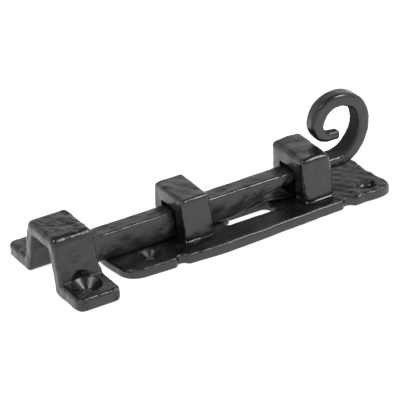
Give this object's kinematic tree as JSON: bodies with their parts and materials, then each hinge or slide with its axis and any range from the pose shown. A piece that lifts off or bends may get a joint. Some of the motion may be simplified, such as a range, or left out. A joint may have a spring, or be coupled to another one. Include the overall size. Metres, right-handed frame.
{
  "type": "sliding door bolt",
  "caption": "Straight sliding door bolt with a curled scroll handle, box staples on a cast plate, and a separate flared keeper.",
  "frame": {"origin": "on the flat back of the plate, which is the face of the door, under the middle of the front staple", "axes": "+X along the bar towards the scroll handle, the bolt being thrown towards -X; +Z out from the door; +Y across the plate"},
  "size_m": [0.1575, 0.0636, 0.0437],
  "materials": {
    "plate_paint": "satin black paint over rough casting",
    "staple_paint": "satin black paint",
    "bar_paint": "satin black paint over forged bar",
    "keeper_paint": "satin black paint over hammered bar",
    "pin_paint": "satin black paint",
    "spring_steel": "blackened spring strip",
    "rivet_steel": "blackened rivet"
  },
  "bodies": {
    "plate": {"backplate": "plate_paint", "front_staple": "staple_paint", "rear_staple": "staple_paint"},
    "bolt": {"bolt": "bar_paint", "stop_pin": "pin_paint", "friction_spring": "spring_steel", "spring_rivet": "rivet_steel"},
    "keeper": {"keeper": "keeper_paint"}
  },
  "joints": [
    {"name": "bolt_slide", "type": "slide", "parent": "plate", "child": "bolt", "axis": [1, 0, 0], "range_m": [0, 0.0185]},
    {"name": "keeper_parting", "type": "slide", "parent": "plate", "child": "keeper", "axis": [-1, 0, 0], "range_m": [0, 0.03]}
  ]
}
